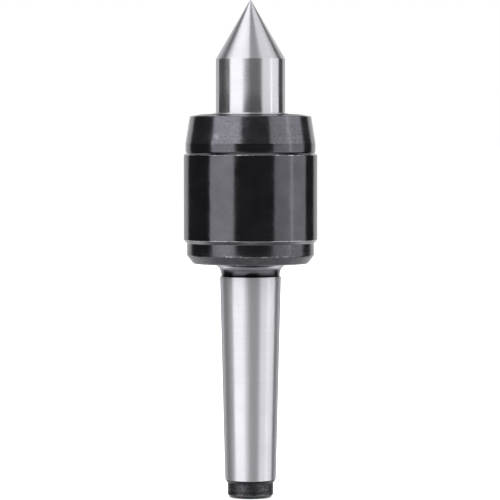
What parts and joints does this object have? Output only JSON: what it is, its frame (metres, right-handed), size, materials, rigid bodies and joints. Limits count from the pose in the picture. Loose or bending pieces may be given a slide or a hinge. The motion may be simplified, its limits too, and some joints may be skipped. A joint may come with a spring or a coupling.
{
  "type": "live center",
  "caption": "Lathe live center: a 60 degree point turning on ball and needle bearings in a black cylindrical head, behind it a ground Morse taper shank with a plain tail.",
  "frame": {"origin": "on the axis at the gauge plane of the Morse taper, where the shank is 17.780 mm across", "axes": "+Z along the axis from the tail to the 60 degree point; X and Y across it, the part being a body of revolution"},
  "size_m": [0.0398, 0.0398, 0.147],
  "materials": {
    "blackened_steel": "turned steel, blackened, semi-gloss",
    "ground_steel": "cylindrically ground, fine lines round the axis",
    "bearing_steel": "hardened and polished",
    "stamped_steel": "pressed sheet, satin",
    "spring_steel": "rolled strip",
    "brass": "turned and drilled",
    "grey_felt": "oiled wool felt"
  },
  "bodies": {
    "housing": {"housing_shank": "blackened_steel", "front_cap": "blackened_steel", "felt_seal": "grey_felt", "front_outer_ring": "bearing_steel", "front_shield_upper": "stamped_steel", "front_shield_lower": "stamped_steel", "thrust_housing_washer": "bearing_steel", "needle_cup": "stamped_steel"},
    "spindle": {"spindle": "ground_steel", "front_inner_ring": "bearing_steel", "thrust_shim": "spring_steel", "thrust_shaft_washer": "bearing_steel"},
    "front_cage": {"front_cage": "stamped_steel"},
    "thrust_cage": {"thrust_cage": "brass"},
    "needle_cage": {"needle_cage": "stamped_steel"},
    "front_ball_1": {"front_ball_1": "bearing_steel"},
    "front_ball_2": {"front_ball_2": "bearing_steel"},
    "front_ball_3": {"front_ball_3": "bearing_steel"},
    "front_ball_4": {"front_ball_4": "bearing_steel"},
    "front_ball_5": {"front_ball_5": "bearing_steel"},
    "front_ball_6": {"front_ball_6": "bearing_steel"},
    "front_ball_7": {"front_ball_7": "bearing_steel"},
    "front_ball_8": {"front_ball_8": "bearing_steel"},
    "front_ball_9": {"front_ball_9": "bearing_steel"},
    "thrust_ball_1": {"thrust_ball_1": "bearing_steel"},
    "thrust_ball_2": {"thrust_ball_2": "bearing_steel"},
    "thrust_ball_3": {"thrust_ball_3": "bearing_steel"},
    "thrust_ball_4": {"thrust_ball_4": "bearing_steel"},
    "thrust_ball_5": {"thrust_ball_5": "bearing_steel"},
    "thrust_ball_6": {"thrust_ball_6": "bearing_steel"},
    "thrust_ball_7": {"thrust_ball_7": "bearing_steel"},
    "thrust_ball_8": {"thrust_ball_8": "bearing_steel"},
    "thrust_ball_9": {"thrust_ball_9": "bearing_steel"},
    "thrust_ball_10": {"thrust_ball_10": "bearing_steel"},
    "thrust_ball_11": {"thrust_ball_11": "bearing_steel"},
    "thrust_ball_12": {"thrust_ball_12": "bearing_steel"},
    "needle_1": {"needle_1": "bearing_steel"},
    "needle_2": {"needle_2": "bearing_steel"},
    "needle_3": {"needle_3": "bearing_steel"},
    "needle_4": {"needle_4": "bearing_steel"},
    "needle_5": {"needle_5": "bearing_steel"},
    "needle_6": {"needle_6": "bearing_steel"},
    "needle_7": {"needle_7": "bearing_steel"},
    "needle_8": {"needle_8": "bearing_steel"},
    "needle_9": {"needle_9": "bearing_steel"},
    "needle_10": {"needle_10": "bearing_steel"},
    "needle_11": {"needle_11": "bearing_steel"},
    "needle_12": {"needle_12": "bearing_steel"}
  },
  "joints": [
    {"name": "spindle_spin", "type": "hinge", "parent": "housing", "child": "spindle", "pos_m": [0, 0, 0.0325], "axis": [0, 0, 1], "continuous": true},
    {"name": "front_cage_spin", "type": "hinge", "parent": "housing", "child": "front_cage", "pos_m": [0, 0, 0.0325], "axis": [0, 0, 1], "continuous": true},
    {"name": "thrust_cage_spin", "type": "hinge", "parent": "housing", "child": "thrust_cage", "pos_m": [0, 0, 0.0224], "axis": [0, 0, 1], "continuous": true},
    {"name": "needle_cage_spin", "type": "hinge", "parent": "housing", "child": "needle_cage", "pos_m": [0, 0, 0.0123], "axis": [0, 0, 1], "continuous": true},
    {"name": "front_ball_1_spin", "type": "hinge", "parent": "front_cage", "child": "front_ball_1", "pos_m": [0.01175, 0, 0.0325], "axis": [0, 0, 1], "continuous": true},
    {"name": "front_ball_2_spin", "type": "hinge", "parent": "front_cage", "child": "front_ball_2", "pos_m": [0.009, 0.00755, 0.0325], "axis": [0, 0, 1], "continuous": true},
    {"name": "front_ball_3_spin", "type": "hinge", "parent": "front_cage", "child": "front_ball_3", "pos_m": [0.00204, 0.01157, 0.0325], "axis": [0, 0, 1], "continuous": true},
    {"name": "front_ball_4_spin", "type": "hinge", "parent": "front_cage", "child": "front_ball_4", "pos_m": [-0.00588, 0.01018, 0.0325], "axis": [0, 0, 1], "continuous": true},
    {"name": "front_ball_5_spin", "type": "hinge", "parent": "front_cage", "child": "front_ball_5", "pos_m": [-0.01104, 0.00402, 0.0325], "axis": [0, 0, 1], "continuous": true},
    {"name": "front_ball_6_spin", "type": "hinge", "parent": "front_cage", "child": "front_ball_6", "pos_m": [-0.01104, -0.00402, 0.0325], "axis": [0, 0, 1], "continuous": true},
    {"name": "front_ball_7_spin", "type": "hinge", "parent": "front_cage", "child": "front_ball_7", "pos_m": [-0.00588, -0.01018, 0.0325], "axis": [0, 0, 1], "continuous": true},
    {"name": "front_ball_8_spin", "type": "hinge", "parent": "front_cage", "child": "front_ball_8", "pos_m": [0.00204, -0.01157, 0.0325], "axis": [0, 0, 1], "continuous": true},
    {"name": "front_ball_9_spin", "type": "hinge", "parent": "front_cage", "child": "front_ball_9", "pos_m": [0.009, -0.00755, 0.0325], "axis": [0, 0, 1], "continuous": true},
    {"name": "thrust_ball_1_spin", "type": "hinge", "parent": "thrust_cage", "child": "thrust_ball_1", "pos_m": [0.01075, 0, 0.0224], "axis": [1, 0, 0], "continuous": true},
    {"name": "thrust_ball_2_spin", "type": "hinge", "parent": "thrust_cage", "child": "thrust_ball_2", "pos_m": [0.00931, 0.00537, 0.0224], "axis": [0.866, 0.5, 0], "continuous": true},
    {"name": "thrust_ball_3_spin", "type": "hinge", "parent": "thrust_cage", "child": "thrust_ball_3", "pos_m": [0.00537, 0.00931, 0.0224], "axis": [0.5, 0.866, 0], "continuous": true},
    {"name": "thrust_ball_4_spin", "type": "hinge", "parent": "thrust_cage", "child": "thrust_ball_4", "pos_m": [0, 0.01075, 0.0224], "axis": [0, 1, 0], "continuous": true},
    {"name": "thrust_ball_5_spin", "type": "hinge", "parent": "thrust_cage", "child": "thrust_ball_5", "pos_m": [-0.00537, 0.00931, 0.0224], "axis": [-0.5, 0.866, 0], "continuous": true},
    {"name": "thrust_ball_6_spin", "type": "hinge", "parent": "thrust_cage", "child": "thrust_ball_6", "pos_m": [-0.00931, 0.00537, 0.0224], "axis": [-0.866, 0.5, 0], "continuous": true},
    {"name": "thrust_ball_7_spin", "type": "hinge", "parent": "thrust_cage", "child": "thrust_ball_7", "pos_m": [-0.01075, 0, 0.0224], "axis": [-1, 0, 0], "continuous": true},
    {"name": "thrust_ball_8_spin", "type": "hinge", "parent": "thrust_cage", "child": "thrust_ball_8", "pos_m": [-0.00931, -0.00537, 0.0224], "axis": [-0.866, -0.5, 0], "continuous": true},
    {"name": "thrust_ball_9_spin", "type": "hinge", "parent": "thrust_cage", "child": "thrust_ball_9", "pos_m": [-0.00537, -0.00931, 0.0224], "axis": [-0.5, -0.866, 0], "continuous": true},
    {"name": "thrust_ball_10_spin", "type": "hinge", "parent": "thrust_cage", "child": "thrust_ball_10", "pos_m": [0, -0.01075, 0.0224], "axis": [0, -1, 0], "continuous": true},
    {"name": "thrust_ball_11_spin", "type": "hinge", "parent": "thrust_cage", "child": "thrust_ball_11", "pos_m": [0.00537, -0.00931, 0.0224], "axis": [0.5, -0.866, 0], "continuous": true},
    {"name": "thrust_ball_12_spin", "type": "hinge", "parent": "thrust_cage", "child": "thrust_ball_12", "pos_m": [0.00931, -0.00537, 0.0224], "axis": [0.866, -0.5, 0], "continuous": true},
    {"name": "needle_1_spin", "type": "hinge", "parent": "needle_cage", "child": "needle_1", "pos_m": [0.00575, 0, 0.0123], "axis": [0, 0, 1], "continuous": true},
    {"name": "needle_2_spin", "type": "hinge", "parent": "needle_cage", "child": "needle_2", "pos_m": [0.00498, 0.00287, 0.0123], "axis": [0, 0, 1], "continuous": true},
    {"name": "needle_3_spin", "type": "hinge", "parent": "needle_cage", "child": "needle_3", "pos_m": [0.00287, 0.00498, 0.0123], "axis": [0, 0, 1], "continuous": true},
    {"name": "needle_4_spin", "type": "hinge", "parent": "needle_cage", "child": "needle_4", "pos_m": [0, 0.00575, 0.0123], "axis": [0, 0, 1], "continuous": true},
    {"name": "needle_5_spin", "type": "hinge", "parent": "needle_cage", "child": "needle_5", "pos_m": [-0.00287, 0.00498, 0.0123], "axis": [0, 0, 1], "continuous": true},
    {"name": "needle_6_spin", "type": "hinge", "parent": "needle_cage", "child": "needle_6", "pos_m": [-0.00498, 0.00287, 0.0123], "axis": [0, 0, 1], "continuous": true},
    {"name": "needle_7_spin", "type": "hinge", "parent": "needle_cage", "child": "needle_7", "pos_m": [-0.00575, 0, 0.0123], "axis": [0, 0, 1], "continuous": true},
    {"name": "needle_8_spin", "type": "hinge", "parent": "needle_cage", "child": "needle_8", "pos_m": [-0.00498, -0.00287, 0.0123], "axis": [0, 0, 1], "continuous": true},
    {"name": "needle_9_spin", "type": "hinge", "parent": "needle_cage", "child": "needle_9", "pos_m": [-0.00287, -0.00498, 0.0123], "axis": [0, 0, 1], "continuous": true},
    {"name": "needle_10_spin", "type": "hinge", "parent": "needle_cage", "child": "needle_10", "pos_m": [0, -0.00575, 0.0123], "axis": [0, 0, 1], "continuous": true},
    {"name": "needle_11_spin", "type": "hinge", "parent": "needle_cage", "child": "needle_11", "pos_m": [0.00287, -0.00498, 0.0123], "axis": [0, 0, 1], "continuous": true},
    {"name": "needle_12_spin", "type": "hinge", "parent": "needle_cage", "child": "needle_12", "pos_m": [0.00498, -0.00287, 0.0123], "axis": [0, 0, 1], "continuous": true}
  ],
  "couplings": [
    {"joint": "front_cage_spin", "follows": "spindle_spin", "ratio": 0.39868},
    {"joint": "thrust_cage_spin", "follows": "spindle_spin", "ratio": 0.5},
    {"joint": "needle_cage_spin", "follows": "spindle_spin", "ratio": 0.43478},
    {"joint": "front_ball_1_spin", "follows": "spindle_spin", "ratio": -2.3661},
    {"joint": "front_ball_2_spin", "follows": "spindle_spin", "ratio": -2.3661},
    {"joint": "front_ball_3_spin", "follows": "spindle_spin", "ratio": -2.3661},
    {"joint": "front_ball_4_spin", "follows": "spindle_spin", "ratio": -2.3661},
    {"joint": "front_ball_5_spin", "follows": "spindle_spin", "ratio": -2.3661},
    {"joint": "front_ball_6_spin", "follows": "spindle_spin", "ratio": -2.3661},
    {"joint": "front_ball_7_spin", "follows": "spindle_spin", "ratio": -2.3661},
    {"joint": "front_ball_8_spin", "follows": "spindle_spin", "ratio": -2.3661},
    {"joint": "front_ball_9_spin", "follows": "spindle_spin", "ratio": -2.3661},
    {"joint": "thrust_ball_1_spin", "follows": "spindle_spin", "ratio": -2.2574},
    {"joint": "thrust_ball_2_spin", "follows": "spindle_spin", "ratio": -2.2574},
    {"joint": "thrust_ball_3_spin", "follows": "spindle_spin", "ratio": -2.2574},
    {"joint": "thrust_ball_4_spin", "follows": "spindle_spin", "ratio": -2.2574},
    {"joint": "thrust_ball_5_spin", "follows": "spindle_spin", "ratio": -2.2574},
    {"joint": "thrust_ball_6_spin", "follows": "spindle_spin", "ratio": -2.2574},
    {"joint": "thrust_ball_7_spin", "follows": "spindle_spin", "ratio": -2.2574},
    {"joint": "thrust_ball_8_spin", "follows": "spindle_spin", "ratio": -2.2574},
    {"joint": "thrust_ball_9_spin", "follows": "spindle_spin", "ratio": -2.2574},
    {"joint": "thrust_ball_10_spin", "follows": "spindle_spin", "ratio": -2.2574},
    {"joint": "thrust_ball_11_spin", "follows": "spindle_spin", "ratio": -2.2574},
    {"joint": "thrust_ball_12_spin", "follows": "spindle_spin", "ratio": -2.2574},
    {"joint": "needle_1_spin", "follows": "spindle_spin", "ratio": -3.7681},
    {"joint": "needle_2_spin", "follows": "spindle_spin", "ratio": -3.7681},
    {"joint": "needle_3_spin", "follows": "spindle_spin", "ratio": -3.7681},
    {"joint": "needle_4_spin", "follows": "spindle_spin", "ratio": -3.7681},
    {"joint": "needle_5_spin", "follows": "spindle_spin", "ratio": -3.7681},
    {"joint": "needle_6_spin", "follows": "spindle_spin", "ratio": -3.7681},
    {"joint": "needle_7_spin", "follows": "spindle_spin", "ratio": -3.7681},
    {"joint": "needle_8_spin", "follows": "spindle_spin", "ratio": -3.7681},
    {"joint": "needle_9_spin", "follows": "spindle_spin", "ratio": -3.7681},
    {"joint": "needle_10_spin", "follows": "spindle_spin", "ratio": -3.7681},
    {"joint": "needle_11_spin", "follows": "spindle_spin", "ratio": -3.7681},
    {"joint": "needle_12_spin", "follows": "spindle_spin", "ratio": -3.7681}
  ]
}
